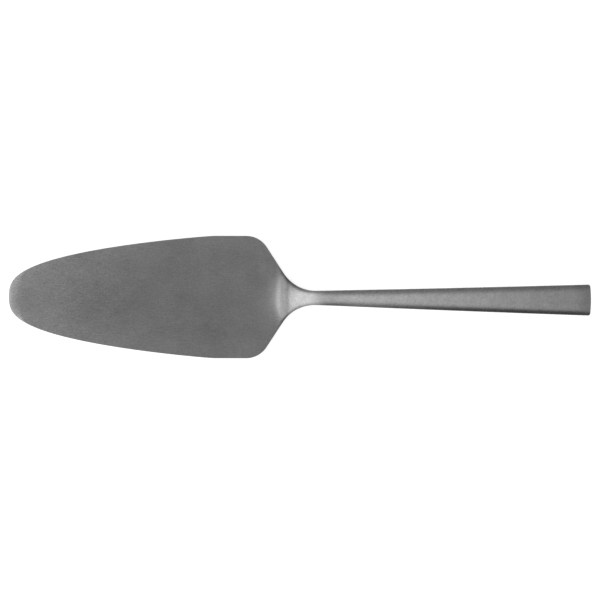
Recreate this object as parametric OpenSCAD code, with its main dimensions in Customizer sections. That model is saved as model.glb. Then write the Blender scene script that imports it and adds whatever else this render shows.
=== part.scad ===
// Cake server of plain matt steel. A flat pressed blade is cranked up at its
// heel and butt welded to a flared, crowned bar, which arches back as the handle.
// X runs along the server from the nose of the blade to the end of the handle,
// Y runs across it and Z is up. The origin lies on the surface that the blade
// rests on, below the middle of the overall length.

/* [Blade] */
// Width of the blade where its sides run parallel
blade_width = 54.7; // [48:0.1:62]
// Length of the curved front of the blade, from the nose to the parallel sides
tip_length = 91.7; // [75:0.1:105]
// Length of the parallel sides
side_length = 14.3; // [8:0.1:24]
// Radius of each shoulder in plan
shoulder_radius = 10.9; // [8:0.1:13]
// Angle in plan between each shoulder's straight edge and the length
shoulder_angle = 57; // [52:1:62]
// Thickness of the sheet
sheet_thickness = 2; // [1.7:0.05:2.5]
// Width of the thinned band round the nose
nose_band = 5; // [3:0.1:6]
// Thickness that the band takes off at the nose
nose_fall = 0.3; // [0.2:0.05:0.7]
// Length from the nose over which the band narrows to the plain eased edge
nose_reach = 10; // [6:0.5:20]
// Width and depth of the eased upper edge along the sides
side_ease = 0.2; // [0.1:0.05:0.5]
// Radius of the lower edge of the sheet
burr_radius = 0.3; // [0.15:0.05:0.45]

/* [Crank] */
// Flat length behind the parallel sides, up to the start of the bend
heel_length = 9.9; // [6:0.1:11.2]
// Radius of the upward bend at the heel
heel_radius = 12.6; // [10:0.1:15]
// Radius in plan of the bow that the bend follows, so that its ends lag behind
bow_radius = 21; // [16:0.5:30]
// Steepest angle of the crank
crank_angle = 37; // [32:1:42]
// Radius of the brow, the long bend over which the crank levels out
brow_radius = 50; // [44:0.5:56]
// Angle where the brow meets the crest
brow_angle = 21.5; // [18:0.5:25]
// Radius of the crest, where the brow turns over into the handle
crest_radius = 29; // [24:0.5:36]
// Angle where the crest meets the handle
neck_angle = 10; // [8:0.5:13]

/* [Crown] */
// Width of the rounded margins beside the flat middle of the brow
brow_margin = 2.6; // [2:0.1:3.2]
// Depth to which they fall there
brow_drop = 0.5; // [0.3:0.05:0.8]
// Width of the rounded margins of the handle
handle_margin = 3.9; // [3:0.1:5]
// Depth to which they fall there
handle_drop = 0.9; // [0.5:0.05:1.1]

/* [Handle] */
// Radius in plan of the fillet between each shoulder and the neck
neck_fillet = 17.2; // [14:0.1:19]
// Width of the neck, the narrowest place
neck_width = 6.4; // [5:0.1:8]
// Length of the handle from the neck to its end
handle_length = 122.7; // [100:0.1:145]
// Width of the handle at its end
end_width = 14; // [11:0.1:18]
// Thickness of the handle at the neck
neck_thickness = 4.4; // [3.6:0.1:5.2]
// Thickness of the handle at its end
end_thickness = 2.8; // [2.4:0.1:3.6]
// Width and depth of the eased upper edges
upper_ease = 0.2; // [0.1:0.05:0.6]
// Radius of the lower edges
lower_radius = 0.6; // [0.3:0.05:0.7]
// Length behind the crest over which the slope swells again
swell_length = 12; // [8:0.5:20]
// Steepest angle of the handle, where that swelling ends
swell_angle = 14.5; // [13.5:0.5:18]
// Angle of the handle at its end
end_angle = 1; // [-4:0.5:6]
// Radius of the corners of the end in plan
corner_radius = 1.1; // [0.9:0.05:2]
// Bow of the end edge, from its corners to its middle
end_bow = 0.4; // [0.2:0.05:0.8]
// Length over which the upper surface rolls off to the end
end_roll = 3.5; // [2:0.1:6]
// Depth to which it rolls off
end_fall = 0.25; // [0.1:0.05:0.4]

/* [Weld] */
// Distance of the weld from the neck, back towards the blade
weld_setback = 12.1; // [9:0.1:13]
// Gap between blade and handle at the root of the weld, on the underside
root_gap = 1.4; // [0.6:0.1:1.8]
// Angle of each side of the V groove
groove_angle = 25; // [20:1:35]

/* [Hidden] */

// Form of the curved front: a high side power keeps the sides full, and a low
// nose power makes the nose blunt
side_power = 1.147;
nose_power = 0.3535;
// Power of the rounded margins: 2 is a parabola, more keeps them flatter inside
margin_power = 2.3;
// Places along each stretch of the outline, from the nose to the end
tip_steps = 38;
tip_crowding = 2.6;
shoulder_steps = 12;
edge_steps = 9;
fillet_steps = 14;
flare_steps = 34;
corner_steps = 6;
end_steps = 5;
// Places from the middle of the underside to its edge, round the lower edge,
// round the upper edge and from there to the middle of the upper surface
under_steps = 3;
lower_steps = 2;
upper_steps = 4;
crown_steps = 6;

// Landmarks along the length, measured from the nose
shoulder_x = tip_length + side_length;
edge_length = ((blade_width - neck_width) / 2
    - (shoulder_radius + neck_fillet) * (1 - cos(shoulder_angle))) / sin(shoulder_angle);
neck_x = shoulder_x + (shoulder_radius + neck_fillet) * sin(shoulder_angle)
    + edge_length * cos(shoulder_angle);
overall_length = neck_x + handle_length;
edge_x = shoulder_x + shoulder_radius * sin(shoulder_angle);
edge_half = blade_width / 2 - shoulder_radius * (1 - cos(shoulder_angle));
fillet_x = edge_x + edge_length * cos(shoulder_angle);
weld_x = neck_x - weld_setback;
bend_x = shoulder_x + heel_length;
crank_x = bend_x + heel_radius * sin(crank_angle);
stem_x = (crank_x + neck_x) / 2;
brow_x = crank_x + brow_radius * (sin(crank_angle) - sin(brow_angle));
crest_x = brow_x + crest_radius * (sin(brow_angle) - sin(neck_angle));
swell_x = crest_x + swell_length;

// Sine of the upper surface's slope at the ends of its arcs. It changes evenly
// with x along an arc, so the stretches between these places are circular.
slope_sines = [[bend_x, 0], [crank_x, sin(crank_angle)], [brow_x, sin(brow_angle)],
    [crest_x, sin(neck_angle)], [swell_x, sin(swell_angle)], [overall_length, sin(end_angle)]];

// From one value to another by a share
function mix(from, to, share) = from + (to - from) * share;

// From 0 at the first place to 1 at the second, with a soft start and end
function ease(x, start, stop) =
    let (t = max(0, min(1, (x - start) / (stop - start)))) t * t * (3 - 2 * t);

// Secant of the slope, which turns a thickness into a height
function secant(x) = 1 / sqrt(1 - pow(lookup(x, slope_sines), 2));

// Height gained up to x along the arc between two places in slope_sines
function arc_rise(x, start, stop) =
    (stop[0] - start[0]) / (stop[1] - start[1])
    * (sqrt(1 - pow(start[1], 2)) - sqrt(1 - pow(lookup(x, [start, stop]), 2)));

// Height of the upper surface along the middle of the server
function upper_level(x, arc = 0) =
    arc == len(slope_sines) - 1 ? sheet_thickness
    : arc_rise(x, slope_sines[arc], slope_sines[arc + 1]) + upper_level(x, arc + 1);

// Share of the way from the weld to the neck, where sheet turns into bar
function bar_share(x) = ease(x, weld_x + root_gap + sheet_thickness, neck_x);

// Thickness of sheet and bar
function thickness(x) =
    x <= neck_x ? mix(sheet_thickness, neck_thickness, bar_share(x))
    : mix(neck_thickness, end_thickness, (x - neck_x) / handle_length);

// Place on the middle line that a point takes its height from. In the sheet it
// lags behind, because the bend follows a bow.
function lagged(x, y) = x - (1 - bar_share(x)) * pow(y, 2) / (2 * bow_radius);

// Heights of the upper surface and the underside, less a fall square to them
function upper_height(x, y, fall) =
    let (at = lagged(x, y)) upper_level(at) - fall * secant(at);
function lower_height(x, y, fall) =
    let (at = lagged(x, y)) upper_level(at) - (thickness(x) + fall) * secant(at);

// Half the width in plan, from the shoulders to the end
flare = (end_width - neck_width) / 2 / handle_length;
function flare_half(x) = neck_width / 2 + flare * (x - neck_x);
function plan_half(x) =
    x >= neck_x ? flare_half(x)
    : x >= fillet_x ? neck_width / 2 + neck_fillet - sqrt(pow(neck_fillet, 2) - pow(neck_x - x, 2))
    : x >= edge_x ? edge_half - (x - edge_x) * tan(shoulder_angle)
    : blade_width / 2 - shoulder_radius + sqrt(pow(shoulder_radius, 2) - pow(x - shoulder_x, 2));

// Width and depth of the rounded margins beside the flat middle. They fall less
// than the underside is high, so that the bent sheet never dips below the blade.
function margin_width(x) =
    min(plan_half(x), mix(brow_margin, handle_margin, ease(x, brow_x, swell_x)));
function margin_drop(x) =
    let (on_brow = brow_drop * ease(x, bend_x, stem_x),
        limit = mix(on_brow, handle_drop, ease(x, brow_x, swell_x)))
    limit * (1 - exp(-lower_height(x, plan_half(x), 0) / limit));

// Depth of the upper surface below its middle, with the roll-off at the end
function roll_fall(x) = end_fall * pow(max(0, 1 - (overall_length - x) / end_roll), 2);
function crown_fall(x, y) =
    x <= bend_x ? 0
    : margin_drop(x) * pow(max(0, 1 - (plan_half(x) - y) / margin_width(x)), margin_power)
        + roll_fall(x);

// The same of the underside, which follows in the sheet and is flat in the bar
function hollow_fall(x, y) = crown_fall(x, y) * (1 - bar_share(x));

// Width and depth of the upper edge's easing, and the radius of the lower edge
function nose_share(x) = 1 - ease(x, 0, nose_reach);
function plain_ease(x) = mix(side_ease, upper_ease, bar_share(x));
function band_width(x) = mix(plain_ease(x), nose_band, nose_share(x));
function band_fall(x) = mix(plain_ease(x), nose_fall, nose_share(x));
function under_radius(x) = mix(burr_radius, lower_radius, bar_share(x));

// The end: a bowed edge with a rounded corner that is tangent to the flared side
end_radius = (pow(end_width / 2, 2) + pow(end_bow, 2)) / (2 * end_bow);
end_centre = overall_length - end_radius;
flare_secant = sqrt(1 + pow(flare, 2));
corner_base = flare_half(end_centre) - corner_radius * flare_secant;
corner_reach = (sqrt(pow(flare_secant * (end_radius - corner_radius), 2) - pow(corner_base, 2))
    - corner_base * flare) / pow(flare_secant, 2);
corner_centre = [end_centre + corner_reach, corner_base + flare * corner_reach];
corner_start = 90 + atan(flare);
corner_stop = atan2(corner_centre[1], corner_reach);
flare_end = corner_centre[0] + corner_radius * cos(corner_start);

// Points along an arc round a centre, without its first point
function arc_points(centre, radius, start, stop, steps) =
    [for (k = [1 : steps]) let (a = start + (stop - start) * k / steps)
        centre + radius * [cos(a), sin(a)]];

// Half of the outline in plan, from the nose along one side to the end's middle
tip_points = [for (k = [0 : tip_steps]) let (s = pow(k / tip_steps, tip_crowding))
    [tip_length * s, blade_width / 2 * pow(1 - pow(1 - s, side_power), nose_power)]];
shoulder_centre = [shoulder_x, blade_width / 2 - shoulder_radius];
shoulder_points = concat([[shoulder_x, blade_width / 2]],
    arc_points(shoulder_centre, shoulder_radius, 90, 90 - shoulder_angle, shoulder_steps));
edge_start = shoulder_centre + shoulder_radius * [sin(shoulder_angle), cos(shoulder_angle)];
edge_points = [for (k = [1 : edge_steps])
    edge_start + edge_length * k / edge_steps * [cos(shoulder_angle), -sin(shoulder_angle)]];
fillet_points = arc_points([neck_x, neck_width / 2 + neck_fillet], neck_fillet,
    270 - shoulder_angle, 270, fillet_steps);
flare_points = [for (k = [1 : flare_steps])
    let (x = neck_x + (flare_end - neck_x) * k / flare_steps) [x, flare_half(x)]];
corner_points = arc_points(corner_centre, corner_radius, corner_start, corner_stop, corner_steps);
end_points = arc_points([end_centre, 0], end_radius, corner_stop, 0, end_steps);
outline = concat(tip_points, shoulder_points, edge_points, fillet_points, flare_points,
    corner_points, end_points);
last_place = len(outline) - 1;
shoulder_place = len(tip_points);
neck_place = shoulder_place + len(shoulder_points) + edge_steps + fillet_steps;

// Outward direction of the outline in plan
function outward(i) =
    i == 0 ? [-1, 0] : i == last_place ? [1, 0]
    : let (d = outline[i + 1] - outline[i - 1]) [-d[1], d[0]] / norm(d);

// Point of the underside at a share of the way out from the middle
function under_point(i, share) =
    let (p = lower_point(i, 0), y = p[1] * share)
    [p[0], y, lower_height(p[0], y, hollow_fall(p[0], y))];

// Point of the lower edge at an angle, from 0 below it to 90 beside it
function lower_point(i, angle) =
    let (radius = under_radius(outline[i][0]), p = outline[i] - outward(i) * radius * (1 - sin(angle)))
    [p[0], p[1], lower_height(p[0], p[1], hollow_fall(p[0], p[1]) - radius * (1 - cos(angle)))];

// Point of the upper edge at an angle, from 0 beside it to 90 above it
function upper_point(i, angle) =
    let (x = outline[i][0], p = outline[i] - outward(i) * band_width(x) * (1 - cos(angle)),
        fall = band_fall(x) * (1 - sin(angle)) + crown_fall(p[0], p[1]))
    [p[0], p[1], upper_height(p[0], p[1], fall)];

// Point of the upper surface at a share of the way out from the middle
function crown_point(i, share) =
    let (p = upper_point(i, 90), y = p[1] * share)
    [p[0], y, upper_height(p[0], y, crown_fall(p[0], y))];

// Half of the section at a place of the outline, from the middle of the
// underside round the edge to the middle of the upper surface
function half_section(i) =
    concat([for (k = [0 : under_steps - 1]) under_point(i, sin(90 * k / under_steps))],
        [for (k = [0 : lower_steps]) lower_point(i, 90 * k / lower_steps)],
        [for (k = [0 : upper_steps]) upper_point(i, 90 * k / upper_steps)],
        [for (k = [1 : crown_steps]) crown_point(i, cos(90 * k / crown_steps))]);
top_index = under_steps + lower_steps + upper_steps + crown_steps + 1;
inner_top_index = top_index - crown_steps;
ring_size = 2 * top_index;
function section(i) =
    let (half = half_section(i))
    concat(half, [for (k = [top_index - 1 : -1 : 1]) [half[k][0], -half[k][1], half[k][2]]]);

// Index of a point in a form that starts at place first. At the nose and at
// the end both sides meet, so the points that coincide there share one index.
function is_pole(i) = i == 0 || i == last_place;
function one_side(j) = max(under_steps, min(inner_top_index, j > top_index ? ring_size - j : j));
function point_index(i, j, first) =
    (i - first) * ring_size + (is_pole(i) ? one_side(j % ring_size) : j % ring_size);
function is_face(f) = f[0] != f[1] && f[1] != f[2] && f[2] != f[0];

// The two triangles between four points, with their diagonals mirrored
function skin_pair(a, b, c, d, right) = right ? [[a, c, b], [a, d, c]] : [[d, b, a], [d, c, b]];

// Solid form of the server between two places of its outline
module formed(first, last) {
    rings = [for (i = [first : last]) each section(i)];
    hubs = [for (i = [first, last])
        [outline[i][0], 0, (upper_level(outline[i][0]) + lower_height(outline[i][0], 0, 0)) / 2]];
    skin = [for (i = [first : last - 1], j = [0 : ring_size - 1])
        each skin_pair(point_index(i, j, first), point_index(i, j + 1, first),
            point_index(i + 1, j + 1, first), point_index(i + 1, j, first), j < top_index)];
    front = [for (j = [0 : ring_size - 1]) if (!is_pole(first))
        [len(rings), point_index(first, j, first), point_index(first, j + 1, first)]];
    back = [for (j = [0 : ring_size - 1]) if (!is_pole(last))
        [len(rings) + 1, point_index(last, j + 1, first), point_index(last, j, first)]];
    polyhedron(concat(rings, hubs), [for (f = concat(skin, front, back)) if (is_face(f)) f]);
}

// Block bounded by one side of the V groove: side 1 keeps what lies behind the
// blade's face of the weld, and side -1 what lies in front of the handle's face.
// Below the middle's underside, where only the lower margins reach, it is upright.
module groove_block(side) {
    reach = blade_width;
    lean = reach * tan(groove_angle);
    translate([weld_x, 0, lower_height(weld_x, 0, 0)])
        rotate([90, -asin(lookup(weld_x, slope_sines)), 0])
            linear_extrude(height = 2 * reach, center = true)
                polygon([[-side * root_gap / 2, -reach], [-side * root_gap / 2, 0],
                    [-side * (lean + root_gap / 2), reach], [side * 2 * reach, reach],
                    [side * 2 * reach, -reach]]);
}

// Pressed blade with its cranked stem, cut to the groove's front face
module blade() {
    color("#919292")
        translate([-overall_length / 2, 0, 0])
            difference() {
                formed(0, neck_place);
                groove_block(1);
            }
}

// Flared and crowned bar, cut to the groove's rear face
module handle() {
    color("#a4a5a5")
        translate([-overall_length / 2, 0, 0])
            difference() {
                formed(shoulder_place, last_place);
                groove_block(-1);
            }
}

// Weld metal that fills the groove, ground flush with blade and handle
module weld_seam() {
    color("#838484")
        translate([-overall_length / 2, 0, 0])
            intersection() {
                formed(shoulder_place, neck_place);
                groove_block(1);
                groove_block(-1);
            }
}

blade();
handle();
weld_seam();
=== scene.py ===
"""Cake server of plain matt steel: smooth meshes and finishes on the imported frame."""
import math
import bpy
import bmesh
from mathutils import Matrix, Vector


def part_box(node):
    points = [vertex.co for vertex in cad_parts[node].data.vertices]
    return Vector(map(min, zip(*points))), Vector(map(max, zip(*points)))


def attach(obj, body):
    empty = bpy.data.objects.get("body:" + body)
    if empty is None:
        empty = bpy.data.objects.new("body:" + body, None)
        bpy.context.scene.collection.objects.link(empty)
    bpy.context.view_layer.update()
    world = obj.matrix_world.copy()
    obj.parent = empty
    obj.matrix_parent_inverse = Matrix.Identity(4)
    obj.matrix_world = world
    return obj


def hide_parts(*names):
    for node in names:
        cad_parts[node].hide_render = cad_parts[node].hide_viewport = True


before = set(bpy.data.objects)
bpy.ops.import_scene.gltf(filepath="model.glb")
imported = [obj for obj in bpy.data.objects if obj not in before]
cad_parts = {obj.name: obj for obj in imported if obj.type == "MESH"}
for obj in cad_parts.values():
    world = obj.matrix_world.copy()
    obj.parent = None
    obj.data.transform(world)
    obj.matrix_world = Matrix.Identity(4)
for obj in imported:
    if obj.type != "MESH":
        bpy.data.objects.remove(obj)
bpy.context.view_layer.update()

# Sizes read from the frame. Lengths and places are in metres.
blade_low, blade_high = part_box("blade")
_, handle_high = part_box("handle")
NOSE_X = blade_low.x
END_X = handle_high.x
BLADE_WIDTH = blade_high.y - blade_low.y

# Plan of the blade and the handle
TIP_LENGTH = 0.0917
SIDE_LENGTH = 0.0143
SHOULDER_RADIUS = 0.0109
SHOULDER_ANGLE = math.radians(57)
NECK_FILLET = 0.0172
NECK_WIDTH = 0.0064
END_WIDTH = 0.014
CORNER_RADIUS = 0.0011
END_BOW = 0.0004
# Powers of the tip's curve, which set how full its sides are and how blunt its nose is
SIDE_POWER = 1.147
NOSE_POWER = 0.3535

# Thickness of the sheet and of the bar
SHEET = 0.002
NECK_THICKNESS = 0.0044
END_THICKNESS = 0.0028

# Rounded margins of the upper side: depth and width on the brow, the same on the handle,
# and the power of their curve
BROW_DEPTH = 0.0005
BROW_REACH = 0.0026
HANDLE_DEPTH = 0.0009
HANDLE_REACH = 0.0039
CROWN_POWER = 2.3

# Thin band round the nose: its width, its depth and the length over which it fades out
NOSE_BAND = 0.005
NOSE_FALL = 0.0003
NOSE_REACH = 0.008

# Roll-off of the upper side at the handle's end: its length and its depth
END_ROLL = 0.008
END_FALL = 0.0004

# Radii of the edges: the upper one, and the lower one of the sheet and of the bar
UPPER_EDGE = 0.0002
LOWER_SHEET_EDGE = 0.0003
LOWER_BAR_EDGE = 0.0006

# Side profile of the upper surface: lengths, radii and sines of the slope
HEEL_LENGTH = 0.0099
HEEL_RADIUS = 0.0126
BROW_RADIUS = 0.05
CREST_RADIUS = 0.029
SWELL_LENGTH = 0.012
CRANK_SINE = math.sin(math.radians(37))
BROW_SINE = math.sin(math.radians(21.5))
NECK_SINE = math.sin(math.radians(10))
SWELL_SINE = math.sin(math.radians(14.5))
END_SINE = math.sin(math.radians(1))
# Reach of the softening at each joint between two arcs, and radius of the bend's bow in plan
BEND_BLUR = 0.003
BOW_RADIUS = 0.021
# Share of the way from the crank to the neck where the brow's rounded margins are full
STEM_SHARE = 0.5

# Weld: its distance from the neck, the gap at its root and the lean of each of its faces
WELD_SETBACK = 0.0121
ROOT_GAP = 0.0014
GROOVE_ANGLE = math.radians(25)

# Fineness of the meshes
TIP_STEPS = 150
SHOULDER_STEPS = 36
EDGE_STEPS = 24
FILLET_STEPS = 48
FLARE_STEPS = 150
CORNER_STEPS = 12
END_STEPS = 14
LOWER_STEPS = 5
UPPER_STEPS = 9
CROWN_STEPS = 12
PROFILE_STEPS = 4000
# Places around each point where the slope is averaged, as shares of the softening's reach
BLUR_SHARES = (-1, -0.75, -0.5, -0.25, 0, 0.25, 0.5, 0.75, 1)
# Power that crowds the tip's points towards the nose
TIP_CROWDING = 2.4
# Distance within which a vertex lies on a cut, and angle from which an edge stays sharp
CUT_TOLERANCE = 1e-7
SHARP_ANGLE = math.radians(40)

QUARTER_TURN = math.pi / 2
# Name of the pieces' UV map
PLAN_MAP = "plan"


def ease(x, start, stop):
    """From 0 at start to 1 at stop, with a soft start and end."""
    t = max(0.0, min(1.0, (x - start) / (stop - start)))
    return t * t * (3 - 2 * t)


def mix(a, b, share):
    """From a to b by a share of the way."""
    return a + (b - a) * share


# Places along the length, from the nose, with the shoulder's straight edge and the flare
overall = END_X - NOSE_X
shoulder_x = TIP_LENGTH + SIDE_LENGTH
edge_length = (
    (BLADE_WIDTH - NECK_WIDTH) / 2
    - (SHOULDER_RADIUS + NECK_FILLET) * (1 - math.cos(SHOULDER_ANGLE))
) / math.sin(SHOULDER_ANGLE)
edge_x = shoulder_x + SHOULDER_RADIUS * math.sin(SHOULDER_ANGLE)
edge_half = BLADE_WIDTH / 2 - SHOULDER_RADIUS * (1 - math.cos(SHOULDER_ANGLE))
fillet_x = edge_x + edge_length * math.cos(SHOULDER_ANGLE)
neck_x = (
    shoulder_x
    + (SHOULDER_RADIUS + NECK_FILLET) * math.sin(SHOULDER_ANGLE)
    + edge_length * math.cos(SHOULDER_ANGLE)
)
flare = (END_WIDTH - NECK_WIDTH) / 2 / (overall - neck_x)
weld_x = neck_x - WELD_SETBACK
bend_x = shoulder_x + HEEL_LENGTH
crank_x = bend_x + HEEL_RADIUS * CRANK_SINE
brow_x = crank_x + BROW_RADIUS * (CRANK_SINE - BROW_SINE)
crest_x = brow_x + CREST_RADIUS * (BROW_SINE - NECK_SINE)
swell_x = crest_x + SWELL_LENGTH
stem_x = mix(crank_x, neck_x, STEM_SHARE)

# Joints between the arcs of the side profile, each with the sine of the slope there
bends = [
    (bend_x, 0.0),
    (crank_x, CRANK_SINE),
    (brow_x, BROW_SINE),
    (crest_x, NECK_SINE),
    (swell_x, SWELL_SINE),
    (overall, END_SINE),
]


def bend_sine(x):
    """Sine of the slope where every stretch is a circular arc."""
    if x <= bends[0][0]:
        return 0.0
    for (x0, s0), (x1, s1) in zip(bends, bends[1:]):
        if x <= x1:
            return mix(s0, s1, (x - x0) / (x1 - x0))
    return bends[-1][1]


def blurred_sine(x):
    """The same, with the joints between the arcs softened."""
    return sum(bend_sine(x + BEND_BLUR * share) for share in BLUR_SHARES) / len(BLUR_SHARES)


# Sine of the slope and height of the upper surface at even steps along the middle line
profile_step = overall / PROFILE_STEPS
sines = [blurred_sine(k * profile_step) for k in range(PROFILE_STEPS + 2)]
levels = [SHEET]
for sine in sines[:-1]:
    levels.append(levels[-1] + profile_step * sine / math.sqrt(1 - sine * sine))


def looked_up(table, x):
    """Value of one of these tables at a place between its steps."""
    place = max(0.0, min(PROFILE_STEPS, x / profile_step))
    k = int(place)
    return mix(table[k], table[k + 1], place - k)


def secant(x):
    """Upright depth of a layer for each unit of its thickness across the slope."""
    return 1 / math.sqrt(1 - looked_up(sines, x) ** 2)


weld_slope = math.asin(looked_up(sines, weld_x))


def bar_share(x):
    """Share of the way from the weld to the neck, where sheet turns into bar."""
    return ease(x, weld_x + ROOT_GAP + SHEET, neck_x)


def nose_share(x):
    """From 1 at the nose to 0 where its band has faded out."""
    return 1 - ease(x, 0, NOSE_REACH)


def thickness(x):
    """Thickness across the slope on the middle line."""
    if x <= neck_x:
        return mix(SHEET, NECK_THICKNESS, bar_share(x))
    return mix(NECK_THICKNESS, END_THICKNESS, (x - neck_x) / (overall - neck_x))


def lagged(x, y):
    """Place on the middle line that a point takes its height from.

    In the sheet it lags behind, because the bend follows a bow.
    """
    return x - (1 - bar_share(x)) * y * y / (2 * BOW_RADIUS)


def upper_height(x, y, fall):
    """Height of a point that lies a given fall below the upper profile."""
    at = lagged(x, y)
    return looked_up(levels, at) - fall * secant(at)


def lower_height(x, y, fall):
    """Height of a point that lies a given fall below the lower profile."""
    at = lagged(x, y)
    return looked_up(levels, at) - (thickness(x) + fall) * secant(at)


def plan_half(x):
    """Half the width in plan, from the shoulders to the end."""
    if x >= neck_x:
        return NECK_WIDTH / 2 + flare * (x - neck_x)
    if x >= fillet_x:
        return NECK_WIDTH / 2 + NECK_FILLET - math.sqrt(NECK_FILLET**2 - (neck_x - x) ** 2)
    if x >= edge_x:
        return edge_half - (x - edge_x) * math.tan(SHOULDER_ANGLE)
    return BLADE_WIDTH / 2 - SHOULDER_RADIUS + math.sqrt(SHOULDER_RADIUS**2 - (x - shoulder_x) ** 2)


def crown_depth(x):
    """Depth of the rounded margins, never deeper than the underside is high."""
    on_brow = BROW_DEPTH * ease(x, bend_x - BEND_BLUR, stem_x)
    limit = mix(on_brow, HANDLE_DEPTH, ease(x, brow_x, swell_x))
    return limit * (1 - math.exp(-max(0.0, lower_height(x, plan_half(x), 0)) / limit))


def crown_reach(x):
    """Width of the rounded margin on each side of the flat middle."""
    return min(plan_half(x), mix(BROW_REACH, HANDLE_REACH, ease(x, brow_x, swell_x)))


def end_fall(x):
    """Roll-off of the upper surface towards the handle's end."""
    return END_FALL * max(0.0, (x - overall + END_ROLL) / END_ROLL) ** 2


def crown_fall(x, y):
    """Fall of the upper surface below its profile, from the bend onwards."""
    if x <= bend_x - BEND_BLUR:
        return 0.0
    share = max(0.0, min(1.0, 1 + (abs(y) - plan_half(x)) / crown_reach(x)))
    return crown_depth(x) * share**CROWN_POWER + end_fall(x)


def hollow_fall(x, y):
    """Fall of the underside, which follows the upper side in the sheet and is flat in the bar."""
    return crown_fall(x, y) * (1 - bar_share(x))


def arc(centre, radius, start, stop, steps):
    """Points along an arc, without its first one."""
    angles = [mix(start, stop, k / steps) for k in range(1, steps + 1)]
    return [(centre[0] + radius * math.cos(a), centre[1] + radius * math.sin(a)) for a in angles]


def tip_points():
    """The blade's rounded tip in plan, from the nose to its straight side."""
    points = []
    for k in range(TIP_STEPS + 1):
        share = (k / TIP_STEPS) ** TIP_CROWDING
        y = BLADE_WIDTH / 2 * (1 - (1 - share) ** SIDE_POWER) ** NOSE_POWER
        points.append((TIP_LENGTH * share, y))
    return points


def shoulder_points():
    """From the straight side round the shoulder, along its edge and the fillet to the neck."""
    centre = (shoulder_x, BLADE_WIDTH / 2 - SHOULDER_RADIUS)
    stop = QUARTER_TURN - SHOULDER_ANGLE
    points = [(shoulder_x, BLADE_WIDTH / 2)]
    points += arc(centre, SHOULDER_RADIUS, QUARTER_TURN, stop, SHOULDER_STEPS)
    x, y = points[-1]
    for k in range(1, EDGE_STEPS + 1):
        run = edge_length * k / EDGE_STEPS
        points.append((x + run * math.cos(SHOULDER_ANGLE), y - run * math.sin(SHOULDER_ANGLE)))
    centre = (neck_x, NECK_WIDTH / 2 + NECK_FILLET)
    start = 3 * QUARTER_TURN - SHOULDER_ANGLE
    return points + arc(centre, NECK_FILLET, start, 3 * QUARTER_TURN, FILLET_STEPS)


def handle_points():
    """From the neck along the flare, round the corner and along the bowed end to its middle."""
    end_radius = ((END_WIDTH / 2) ** 2 + END_BOW**2) / (2 * END_BOW)
    end_centre = overall - end_radius
    slant = math.sqrt(1 + flare**2)
    base = plan_half(end_centre) - CORNER_RADIUS * slant
    reach = (
        math.sqrt((slant * (end_radius - CORNER_RADIUS)) ** 2 - base**2) - base * flare
    ) / slant**2
    corner = (end_centre + reach, base + flare * reach)
    corner_start = QUARTER_TURN + math.atan(flare)
    corner_stop = math.atan2(corner[1], reach)
    flare_end = corner[0] + CORNER_RADIUS * math.cos(corner_start)
    points = []
    for k in range(1, FLARE_STEPS + 1):
        x = mix(neck_x, flare_end, k / FLARE_STEPS)
        points.append((x, plan_half(x)))
    points += arc(corner, CORNER_RADIUS, corner_start, corner_stop, CORNER_STEPS)
    points += arc((end_centre, 0), end_radius, corner_stop, 0, END_STEPS)
    points[-1] = (overall, 0.0)
    return points


# Half of the outline in plan, from the nose to the middle of the end
outline = tip_points() + shoulder_points() + handle_points()
last_place = len(outline) - 1


def outward(i):
    """Direction of the outline's outer side in plan."""
    if i == 0:
        return (-1.0, 0.0)
    if i == last_place:
        return (1.0, 0.0)
    dx = outline[i + 1][0] - outline[i - 1][0]
    dy = outline[i + 1][1] - outline[i - 1][1]
    size = math.hypot(dx, dy)
    return (-dy / size, dx / size)


def edge_points(i):
    """Rounded edge at a place of the outline, from the underside up to the upper side."""
    x, y = outline[i]
    nx, ny = outward(i)
    nose = nose_share(x)
    radius = mix(LOWER_SHEET_EDGE, LOWER_BAR_EDGE, bar_share(x))
    band = mix(UPPER_EDGE, NOSE_BAND, nose)
    depth = mix(UPPER_EDGE, NOSE_FALL, nose)
    points = []
    for k in range(LOWER_STEPS + 1):
        turn = QUARTER_TURN * k / LOWER_STEPS
        inset = radius * (1 - math.sin(turn))
        px, py = x - nx * inset, y - ny * inset
        fall = hollow_fall(px, py) - radius * (1 - math.cos(turn))
        points.append((px, py, lower_height(px, py, fall)))
    for k in range(UPPER_STEPS + 1):
        turn = QUARTER_TURN * k / UPPER_STEPS
        inset = band * (1 - math.cos(turn))
        px, py = x - nx * inset, y - ny * inset
        fall = depth * (1 - math.sin(turn)) + crown_fall(px, py)
        points.append((px, py, upper_height(px, py, fall)))
    return points


def half_section(i):
    """Section at a place of the outline, from the middle below to the middle above."""
    edge = edge_points(i)
    x, y = edge[0][:2]
    below = []
    for k in range(CROWN_STEPS):
        side = y * math.sin(QUARTER_TURN * k / CROWN_STEPS)
        below.append((x, side, lower_height(x, side, hollow_fall(x, side))))
    x, y = edge[-1][:2]
    above = []
    for k in range(1, CROWN_STEPS + 1):
        side = y * math.cos(QUARTER_TURN * k / CROWN_STEPS) if k < CROWN_STEPS else 0.0
        above.append((x, side, upper_height(x, side, crown_fall(x, side))))
    return below + edge + above


def add_pole(bm, section):
    """Vertices at the nose or the end, where both halves are one line on the middle plane."""
    edge = section[CROWN_STEPS:-CROWN_STEPS]
    line = [bm.verts.new((x + NOSE_X, 0, z)) for x, _, z in edge]
    row = [line[0]] * CROWN_STEPS + line + [line[-1]] * CROWN_STEPS
    return row, row


def add_halves(bm, section):
    """Vertices of the +Y half and of the -Y half, which share their ends on the middle line."""
    right = [bm.verts.new((x + NOSE_X, y, z)) for x, y, z in section]
    left = [bm.verts.new((x + NOSE_X, -y, z)) for x, y, z in section[1:-1]]
    return right, [right[0]] + left + [right[-1]]


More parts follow.
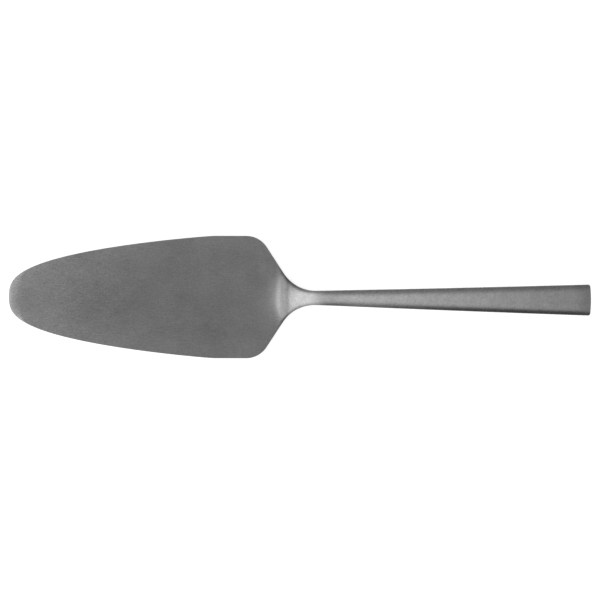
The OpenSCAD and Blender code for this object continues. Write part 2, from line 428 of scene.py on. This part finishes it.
def add_face(bm, corners):
    """A face through its distinct corners."""
    distinct = list(dict.fromkeys(corners))
    if len(distinct) > 2:
        bm.faces.new(distinct)


def whole_form():
    """The server as one closed mesh, before it is cut at the weld."""
    bm = bmesh.new()
    rows = []
    for i in range(len(outline)):
        add_row = add_pole if i in (0, last_place) else add_halves
        rows.append(add_row(bm, half_section(i)))
    for (right_a, left_a), (right_b, left_b) in zip(rows, rows[1:]):
        for j in range(len(right_a) - 1):
            add_face(bm, (right_a[j], right_b[j], right_b[j + 1], right_a[j + 1]))
            add_face(bm, (left_a[j + 1], left_b[j + 1], left_b[j], left_a[j]))
    bmesh.ops.recalc_face_normals(bm, faces=bm.faces)
    return bm


def cut(bm, point, normal):
    """Removes what lies on the normal's side of a plane, and closes the cut."""
    made = bmesh.ops.bisect_plane(
        bm,
        geom=list(bm.verts) + list(bm.edges) + list(bm.faces),
        plane_co=point,
        plane_no=normal,
        clear_outer=True,
        dist=CUT_TOLERANCE,
    )
    edges = [e for e in made["geom_cut"] if isinstance(e, bmesh.types.BMEdge)]
    bmesh.ops.edgeloop_fill(bm, edges=edges)


def finish_piece(name, bm, node, material):
    """Turns a bmesh into the piece that stands for a node."""
    bmesh.ops.recalc_face_normals(bm, faces=bm.faces)
    mesh = bpy.data.meshes.new(name)
    layer = bm.loops.layers.uv.new(PLAN_MAP)
    for face in bm.faces:
        face.smooth = True
        for loop in face.loops:
            loop[layer].uv = (loop.vert.co.x / overall, loop.vert.co.y / overall)
    bm.to_mesh(mesh)
    bm.free()
    mesh.set_sharp_from_angle(angle=SHARP_ANGLE)
    piece = bpy.data.objects.new(name, mesh)
    bpy.context.scene.collection.objects.link(piece)
    mesh.materials.append(material)
    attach(piece, "root")
    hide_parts(node)


# Node building


def new_material(name):
    """A material, with its node tree and its main shader."""
    material = bpy.data.materials.new(name)
    material.use_nodes = True
    tree = material.node_tree
    return material, tree, tree.nodes["Principled BSDF"]


def link(tree, source, target):
    tree.links.new(source, target)


def combine(tree, operation, a, b):
    """Result of an operation on two values, each a number or the output of a node."""
    node = tree.nodes.new("ShaderNodeMath")
    node.operation = operation
    for socket, value in zip(node.inputs, (a, b)):
        if isinstance(value, (int, float)):
            socket.default_value = value
        else:
            link(tree, value, socket)
    return node.outputs["Value"]


def combine_all(tree, operation, values):
    """The same on several values, from left to right."""
    result = values[0]
    for value in values[1:]:
        result = combine(tree, operation, result, value)
    return result


def product(tree, *values):
    return combine_all(tree, "MULTIPLY", values)


def total(tree, *values):
    return combine_all(tree, "ADD", values)


def mapped(tree, value, interpolation, span, low, high):
    """Maps a span of a value onto low to high, and stays at low or high beyond it."""
    node = tree.nodes.new("ShaderNodeMapRange")
    node.interpolation_type = interpolation
    node.inputs["From Min"].default_value = span[0]
    node.inputs["From Max"].default_value = span[1]
    node.inputs["To Min"].default_value = low
    node.inputs["To Max"].default_value = high
    link(tree, value, node.inputs["Value"])
    return node.outputs["Result"]


# Middle range of a noise, which only a few places exceed
NOISE_SPAN = (0.3, 0.7)


def spread(tree, value, low, high):
    """Maps a noise's middle range onto low to high."""
    return mapped(tree, value, "LINEAR", NOISE_SPAN, low, high)


def soft_range(tree, value, span, low, high):
    """From low at the start of a span to high at its end, with a soft start and end."""
    return mapped(tree, value, "SMOOTHSTEP", span, low, high)


def position(tree, axis):
    """Coordinate along an axis of the piece, in metres."""
    place = tree.nodes.new("ShaderNodeTexCoord")
    split = tree.nodes.new("ShaderNodeSeparateXYZ")
    link(tree, place.outputs["Object"], split.inputs["Vector"])
    return split.outputs[axis]


def noise(tree, kind, seed=0.0):
    """A noise of the given kind, fixed to the piece."""
    stretch, detail, rough, offset = kind
    place = tree.nodes.new("ShaderNodeTexCoord")
    scaled = tree.nodes.new("ShaderNodeMapping")
    scaled.inputs["Scale"].default_value = stretch
    scaled.inputs["Location"].default_value = [offset + seed] * 3
    texture = tree.nodes.new("ShaderNodeTexNoise")
    texture.inputs["Scale"].default_value = 1.0
    texture.inputs["Detail"].default_value = detail
    texture.inputs["Roughness"].default_value = rough
    link(tree, place.outputs["Object"], scaled.inputs["Vector"])
    link(tree, scaled.outputs["Vector"], texture.inputs["Vector"])
    return texture.outputs["Fac"]


def grey(tree, value):
    """A colour with the value in all three channels."""
    node = tree.nodes.new("ShaderNodeCombineColor")
    for channel in ("Red", "Green", "Blue"):
        link(tree, value, node.inputs[channel])
    return node.outputs["Color"]


def bump(tree, height, distance):
    """Normals of a relief, which is a distance deep where the height runs from 0 to 1."""
    node = tree.nodes.new("ShaderNodeBump")
    node.inputs["Distance"].default_value = distance
    node.inputs["Strength"].default_value = 1.0
    link(tree, height, node.inputs["Height"])
    return node.outputs["Normal"]


# A quarter of a turn, so that the gloss stretches across the length
GLOSS_TURN = 0.25


def along_length(tree, shader, amount):
    """Stretches the gloss across the brushing, which runs along the length."""
    tangent = tree.nodes.new("ShaderNodeTangent")
    tangent.direction_type = "UV_MAP"
    tangent.uv_map = PLAN_MAP
    shader.inputs["Anisotropic"].default_value = amount
    shader.inputs["Anisotropic Rotation"].default_value = GLOSS_TURN
    link(tree, tangent.outputs["Tangent"], shader.inputs["Tangent"])


# Finishes. A span is where along X or Y a change starts and where it is complete.

BLADE_GREY = 0.28
HANDLE_GREY = 0.37
WELD_GREY = 0.218
# Distances before the weld where the blade's grey starts to change and has changed
BLADE_FADE_START = 0.002
BLADE_FADE_STOP = 0.0003
# Distance on each side of the weld's far edge over which the handle's grey sets in
HANDLE_FADE = 0.0009

# Painted shade on the stem's +Y flank, where its crowned side faces away from the light
FLANK_SHADE_DEPTH = 0.4
FLANK_SIDE_SPAN = (0.0005, 0.0075)
FLANK_START_SPAN = (-0.0068, -0.004)
FLANK_END_SPAN = (-0.001, 0.007)

# Lighter margin of the blade, partly wear and partly a painted highlight of its rounded edges: its
# gain at the nose and behind it, the distances from the nose where the gain grows, where the margin
# ends, and its lean to +Y
MARGIN_GAINS = (0.02, 0.12)
MARGIN_START = 0.002
MARGIN_FULL = 0.01
MARGIN_END_SPAN = (-0.035, -0.02)
MARGIN_LEAN = 0.08

# Painted light on the heel: a lighter tone where the bend's highlight fans out, and a painted
# highlight that ends in painted shade where the sheet begins to rise
HEEL_PAINTED_GAIN = 1.08
HEEL_SPAN = (-0.04, -0.018)
BEND_HIGHLIGHT_GAIN = 0.09
BEND_HIGHLIGHT_SPAN = (-0.0195, -0.0165)
BEND_SHADE_LOSS = 0.14
BEND_SHADE_SPAN = (-0.0135, -0.0105)
BEND_LIGHT_SIDE_SPAN = (0.013, 0.018)

# Noises: features per metre in x, y and z, detail, roughness and offset
BLADE_LINES = ((250, 2500, 2500), 3, 0.5, 0.0)
BLADE_FINE = ((200, 7000, 7000), 2, 0.5, 3.7)
BLADE_CLOUDS = ((60, 75, 75), 4, 0.5, 5.9)
BLADE_SPOTS = ((1500, 2100, 2100), 2, 0.5, 8.1)
HANDLE_GRAIN = ((1300, 1500, 1500), 3, 0.6, 0.0)
HANDLE_FINE = ((3600, 3600, 3600), 2, 0.5, 2.2)
HANDLE_CLOUDS = ((280, 320, 320), 3, 0.5, 5.1)
# What handle and weld add to the offsets
HANDLE_SEED = 0.0
WELD_SEED = 4.0

# Depths of the blade's lines and spots, near the nose and farther back. Each starts to change
# at a distance from the nose, and has changed at a place along X.
LINE_DEPTHS = (0.1, 0.055)
LINE_START = 0.02
LINE_STOP = 0.0
SPOT_DEPTHS = (0.175, 0.12)
SPOT_START = 0.03
SPOT_STOP = -0.06

# Lowest and highest factor, or roughness, that a noise gives
BLADE_CLOUD_TONES = (0.94, 1.14)
BLADE_ROUGHNESS = (0.33, 0.37)
BLADE_FINE_ROUGHNESS = (-0.02, 0.02)
HANDLE_GRAIN_TONES = (0.84, 1.16)
HANDLE_CLOUD_TONES = (0.93, 1.07)
HANDLE_ROUGHNESS = (0.32, 0.34)
# The handle is a little more polished behind the neck, with this share of its roughness
POLISH_SHARE = 0.83
POLISH_SPAN = (0.005, 0.03)

# Relief of the surfaces, the share of the fine noise in it, and the stretch of the blade's gloss
BLADE_RELIEF = 0.000012
BLADE_FINE_SHARE = 0.5
HANDLE_RELIEF = 0.000004
HANDLE_FINE_SHARE = 0.4
BLADE_GLOSS_STRETCH = 0.55


def run_together(tree, tone):
    """A tone on the greys of blade, weld and handle, which run into each other at the weld, with
    painted shade on the stem's +Y flank.
    """
    middle = weld_x + NOSE_X - SHEET * math.sin(weld_slope)
    half = (ROOT_GAP / 2 + SHEET * math.tan(GROOVE_ANGLE)) * math.cos(weld_slope)
    x = position(tree, "X")
    fall_span = (middle - half - BLADE_FADE_START, middle - half - BLADE_FADE_STOP)
    rise_span = (middle + half - HANDLE_FADE, middle + half + HANDLE_FADE)
    fall = soft_range(tree, x, fall_span, BLADE_GREY, WELD_GREY)
    rise = soft_range(tree, x, rise_span, 0.0, HANDLE_GREY - WELD_GREY)
    return product(tree, tone, total(tree, fall, rise), painted_flank_shade(tree))


def painted_flank_shade(tree):
    """Painted shade: a slightly darker place on the stem's +Y flank, which faces away from the
    light.
    """
    x = position(tree, "X")
    side = soft_range(tree, position(tree, "Y"), FLANK_SIDE_SPAN, 0.0, FLANK_SHADE_DEPTH)
    begun = soft_range(tree, x, FLANK_START_SPAN, 0.0, 1.0)
    ended = soft_range(tree, x, FLANK_END_SPAN, 1.0, 0.0)
    return combine(tree, "SUBTRACT", 1.0, product(tree, begun, ended, side))


def margin_wear_and_highlight(tree):
    """About 1 along the middle of the blade, and more towards its long edges, partly as wear and
    partly as a painted highlight of the rounded edges.

    The gain grows with the square of the distance from the middle, as a share of half the width.
    """
    x = position(tree, "X")
    tip_share = combine(tree, "DIVIDE", combine(tree, "SUBTRACT", x, NOSE_X), TIP_LENGTH)
    rest_share = combine(tree, "MAXIMUM", combine(tree, "SUBTRACT", 1.0, tip_share), 0.0)
    full = combine(tree, "SUBTRACT", 1.0, combine(tree, "POWER", rest_share, SIDE_POWER))
    half = product(tree, combine(tree, "POWER", full, NOSE_POWER), BLADE_WIDTH / 2)
    side_share = combine(tree, "DIVIDE", position(tree, "Y"), half)
    leaning = total(tree, side_share, MARGIN_LEAN)
    start_span = (NOSE_X + MARGIN_START, NOSE_X + MARGIN_FULL)
    begun = soft_range(tree, x, start_span, *MARGIN_GAINS)
    ended = soft_range(tree, x, MARGIN_END_SPAN, 1.0, 0.0)
    gain = product(tree, begun, ended)
    return total(tree, product(tree, leaning, leaning, gain), 1.0)


def painted_bend_light(tree):
    """Painted highlight in a slightly lighter place before the sheet begins to rise, and painted
    shade in a darker one after it.
    """
    x = position(tree, "X")
    side = combine(tree, "ABSOLUTE", position(tree, "Y"), 0.0)
    begun = soft_range(tree, x, BEND_HIGHLIGHT_SPAN, 0.0, BEND_HIGHLIGHT_GAIN)
    ended = soft_range(tree, x, BEND_SHADE_SPAN, 0.0, BEND_SHADE_LOSS)
    inner = soft_range(tree, side, BEND_LIGHT_SIDE_SPAN, 1.0, 0.0)
    return total(tree, product(tree, combine(tree, "SUBTRACT", begun, ended), inner), 1.0)


def around_one(tree, value, depth):
    """A noise spread evenly about 1, by a depth that may change along the blade."""
    return total(tree, product(tree, spread(tree, value, -1.0, 1.0), depth), 1.0)


def new_steel(name):
    """A new material as bare metal, with its node tree and its main shader."""
    material, tree, shader = new_material(name)
    shader.inputs["Metallic"].default_value = 1.0
    return material, tree, shader


def brushed_steel():
    """Blade: fine lines along the length over a cloudy, lightly worn surface, with painted
    highlights at its long edges and painted light and shade at its heel.
    """
    material, tree, shader = new_steel("brushed_steel")
    lines = noise(tree, BLADE_LINES)
    fine = noise(tree, BLADE_FINE)
    clouds = noise(tree, BLADE_CLOUDS)
    spots = noise(tree, BLADE_SPOTS)
    x = position(tree, "X")
    line_depth = soft_range(tree, x, (NOSE_X + LINE_START, LINE_STOP), *LINE_DEPTHS)
    spot_depth = soft_range(tree, x, (NOSE_X + SPOT_START, SPOT_STOP), *SPOT_DEPTHS)
    tone = product(
        tree,
        around_one(tree, lines, line_depth),
        spread(tree, clouds, *BLADE_CLOUD_TONES),
        around_one(tree, spots, spot_depth),
        margin_wear_and_highlight(tree),
        painted_bend_light(tree),
        # Painted light: a lighter tone where the highlight of the bend fans out over the heel
        soft_range(tree, x, HEEL_SPAN, 1.0, HEEL_PAINTED_GAIN),
    )
    link(tree, grey(tree, run_together(tree, tone)), shader.inputs["Base Color"])
    cloudy = spread(tree, clouds, *BLADE_ROUGHNESS)
    rough = total(tree, cloudy, spread(tree, fine, *BLADE_FINE_ROUGHNESS))
    link(tree, rough, shader.inputs["Roughness"])
    along_length(tree, shader, BLADE_GLOSS_STRETCH)
    height = total(tree, lines, product(tree, fine, BLADE_FINE_SHARE))
    link(tree, bump(tree, height, BLADE_RELIEF), shader.inputs["Normal"])
    return material


def tumbled_steel(name, seed):
    """Handle and weld: an even, finely speckled surface almost without direction."""
    material, tree, shader = new_steel(name)
    grain = noise(tree, HANDLE_GRAIN, seed)
    fine = noise(tree, HANDLE_FINE, seed)
    clouds = noise(tree, HANDLE_CLOUDS, seed)
    grainy = spread(tree, grain, *HANDLE_GRAIN_TONES)
    tone = product(tree, grainy, spread(tree, clouds, *HANDLE_CLOUD_TONES))
    link(tree, grey(tree, run_together(tree, tone)), shader.inputs["Base Color"])
    polish = soft_range(tree, position(tree, "X"), POLISH_SPAN, 1.0, POLISH_SHARE)
    rough = product(tree, spread(tree, grain, *HANDLE_ROUGHNESS), polish)
    link(tree, rough, shader.inputs["Roughness"])
    height = total(tree, grain, product(tree, fine, HANDLE_FINE_SHARE))
    link(tree, bump(tree, height, HANDLE_RELIEF), shader.inputs["Normal"])
    return material


def weld_face(side):
    """A point of the weld's face, and the face's direction towards the handle.

    The side is -1 for the face on the blade and 1 for the one on the handle.
    """
    root = Vector((weld_x + NOSE_X, 0, lower_height(weld_x, 0, 0)))
    along = Vector((math.cos(weld_slope), 0, math.sin(weld_slope)))
    turn = Matrix.Rotation(side * GROOVE_ANGLE, 3, "Y")
    return root + along * side * ROOT_GAP / 2, turn @ along


def make_blade():
    """The sheet, up to the weld."""
    form = whole_form()
    point, along = weld_face(-1)
    cut(form, point, along)
    finish_piece("blade_sheet", form, "blade", brushed_steel())


def make_handle():
    """The bar, from the weld on."""
    form = whole_form()
    point, along = weld_face(1)
    cut(form, point, -along)
    steel = tumbled_steel("tumbled_steel", HANDLE_SEED)
    finish_piece("handle_bar", form, "handle", steel)


def make_weld():
    """The weld metal, between its two faces."""
    form = whole_form()
    for side in (-1, 1):
        point, along = weld_face(side)
        cut(form, point, along * side)
    steel = tumbled_steel("ground_weld", WELD_SEED)
    finish_piece("weld_metal", form, "weld_seam", steel)


# Stage, light and camera

FLOOR_HALF = 3.0
# The floor lies just below the blade, so that the two are never in one plane
FLOOR_GAP = 0.0001
FLOOR_GREY = 0.8
FLOOR_GLOW = 0.7


def pale_floor():
    """Plain and matt. It also glows where it is seen, straight or mirrored, and lights nothing."""
    material, tree, shader = new_material("pale_floor")
    shader.inputs["Base Color"].default_value = (FLOOR_GREY, FLOOR_GREY, FLOOR_GREY, 1)
    shader.inputs["Roughness"].default_value = 1.0
    shader.inputs["Specular IOR Level"].default_value = 0.0
    path = tree.nodes.new("ShaderNodeLightPath")
    shows = combine(tree, "MAXIMUM", path.outputs["Is Camera Ray"], path.outputs["Is Glossy Ray"])
    shows = combine(tree, "MAXIMUM", shows, path.outputs["Is Transmission Ray"])
    glow = tree.nodes.new("ShaderNodeEmission")
    link(tree, product(tree, shows, FLOOR_GLOW), glow.inputs["Strength"])
    both = tree.nodes.new("ShaderNodeAddShader")
    link(tree, shader.outputs["BSDF"], both.inputs[0])
    link(tree, glow.outputs["Emission"], both.inputs[1])
    link(tree, both.outputs["Shader"], tree.nodes["Material Output"].inputs["Surface"])
    return material


def make_floor():
    """A large square just below the part."""
    bm = bmesh.new()
    signs = ((-1, -1), (1, -1), (1, 1), (-1, 1))
    corners = [bm.verts.new((FLOOR_HALF * x, FLOOR_HALF * y, -FLOOR_GAP)) for x, y in signs]
    bm.faces.new(corners)
    mesh = bpy.data.meshes.new("floor")
    bm.to_mesh(mesh)
    bm.free()
    floor = bpy.data.objects.new("floor", mesh)
    bpy.context.scene.collection.objects.link(floor)
    mesh.materials.append(pale_floor())


# Light of the room's walls and of its ceiling, and where one turns into the other. A span is
# between which values of a direction's x, y or z, or of a cosine, the light changes.
WALLS = 0.9
CEILING = 0.35
CEILING_SPAN = (0.2, 0.4)
# The ceiling is dimmer towards +Y and lighter beyond the handle
FAR_CEILING_SHARE = 0.65
FAR_CEILING_SPAN = (0.05, 0.75)
HANDLE_CEILING_FACTOR = 1.9
HANDLE_CEILING_SPAN = (0.3, 0.75)
# It glows beyond the nose, but little towards +Y and not at all towards -Y
NOSE_GLOW = 0.92
NOSE_GLOW_SPAN = (-0.75, 0.3)
FAR_GLOW_SHARE = 0.15
FAR_GLOW_SPAN = (0.0, 0.55)
NEAR_GLOW_SPAN = (-0.1, -0.85)
# Darker panels: direction, span of the cosine about it, and share of the light that is left
PANELS = (
    ((-0.11, -0.74, 0.66), (0.9, 0.98), 0.1),
    ((-0.72, 0.66, 0.12), (0.86, 0.96), 0.65),
)


def ceiling_light(tree, x, y):
    """Light of the ceiling, from the x and y of a direction."""
    nose = soft_range(tree, x, NOSE_GLOW_SPAN, NOSE_GLOW, 0.0)
    far = soft_range(tree, y, FAR_GLOW_SPAN, 1.0, FAR_GLOW_SHARE)
    near = soft_range(tree, y, NEAR_GLOW_SPAN, 1.0, 0.0)
    glow = product(tree, far, near, nose)
    dim = soft_range(tree, y, FAR_CEILING_SPAN, 1.0, FAR_CEILING_SHARE)
    beyond = soft_range(tree, x, HANDLE_CEILING_SPAN, 1.0, HANDLE_CEILING_FACTOR)
    plain = product(tree, dim, CEILING, beyond)
    return total(tree, glow, plain)


def panel_shade(tree, towards, direction, span, share):
    """Share of the light that a panel leaves, which is 1 away from it."""
    near = tree.nodes.new("ShaderNodeVectorMath")
    near.operation = "DOT_PRODUCT"
    link(tree, towards, near.inputs[0])
    near.inputs[1].default_value = Vector(direction).normalized()
    return soft_range(tree, near.outputs["Value"], span, 1.0, share)


def make_world():
    """A pale room: light walls, a dim ceiling that glows beyond the nose, and darker panels."""
    world = bpy.data.worlds.new("studio")
    bpy.context.scene.world = world
    world.use_nodes = True
    tree = world.node_tree
    towards = tree.nodes.new("ShaderNodeTexCoord").outputs["Generated"]
    split = tree.nodes.new("ShaderNodeSeparateXYZ")
    link(tree, towards, split.inputs["Vector"])
    height = soft_range(tree, split.outputs["Z"], CEILING_SPAN, 0.0, 1.0)
    above = product(tree, ceiling_light(tree, split.outputs["X"], split.outputs["Y"]), height)
    below = product(tree, combine(tree, "SUBTRACT", 1.0, height), WALLS)
    room = total(tree, above, below)
    for direction, span, share in PANELS:
        room = product(tree, room, panel_shade(tree, towards, direction, span, share))
    background = tree.nodes["Background"]
    background.inputs["Color"].default_value = (1, 1, 1, 1)
    link(tree, room, background.inputs["Strength"])


# Lamp above the floor beyond the nose
SOFTBOX_PLACE = (-0.32, -0.08, 0.22)
SOFTBOX_SIZE_X = 0.365
SOFTBOX_SIZE_Y = 0.4
SOFTBOX_WATTS = 0.37


def add_softbox():
    """An area lamp that faces straight down and isn't seen itself."""
    data = bpy.data.lights.new("nose_softbox", "AREA")
    data.shape = "RECTANGLE"
    data.size = SOFTBOX_SIZE_X
    data.size_y = SOFTBOX_SIZE_Y
    data.energy = SOFTBOX_WATTS
    lamp = bpy.data.objects.new("nose_softbox", data)
    lamp.location = SOFTBOX_PLACE
    lamp.visible_camera = False
    bpy.context.scene.collection.objects.link(lamp)


# A long lens, in millimetres, from so far away that the view is almost without perspective
LENS = 1200
SENSOR = 36
CAMERA_DISTANCE = 8.93
CAMERA_TARGET = (0.0002, -0.00115, 0.004)
CAMERA_TILT = math.radians(2.0)
CAMERA_ROLL = math.radians(0.15)
CLIP_END = 20


def make_camera():
    """Straight down, leaning a little to +Y, with the nose to the left."""
    data = bpy.data.cameras.new("camera")
    camera = bpy.data.objects.new("camera", data)
    bpy.context.scene.collection.objects.link(camera)
    data.lens = LENS
    data.sensor_width = SENSOR
    turn = Matrix.Rotation(-CAMERA_TILT, 4, "X") @ Matrix.Rotation(CAMERA_ROLL, 4, "Z")
    back = turn @ Vector((0, 0, 1))
    place = Vector(CAMERA_TARGET) + back * CAMERA_DISTANCE
    camera.matrix_world = Matrix.Translation(place) @ turn
    data.clip_end = CLIP_END
    bpy.context.scene.camera = camera


make_blade()
make_handle()
make_weld()
make_floor()
make_world()
add_softbox()
make_camera()
bpy.context.scene.view_settings.view_transform = "Standard"
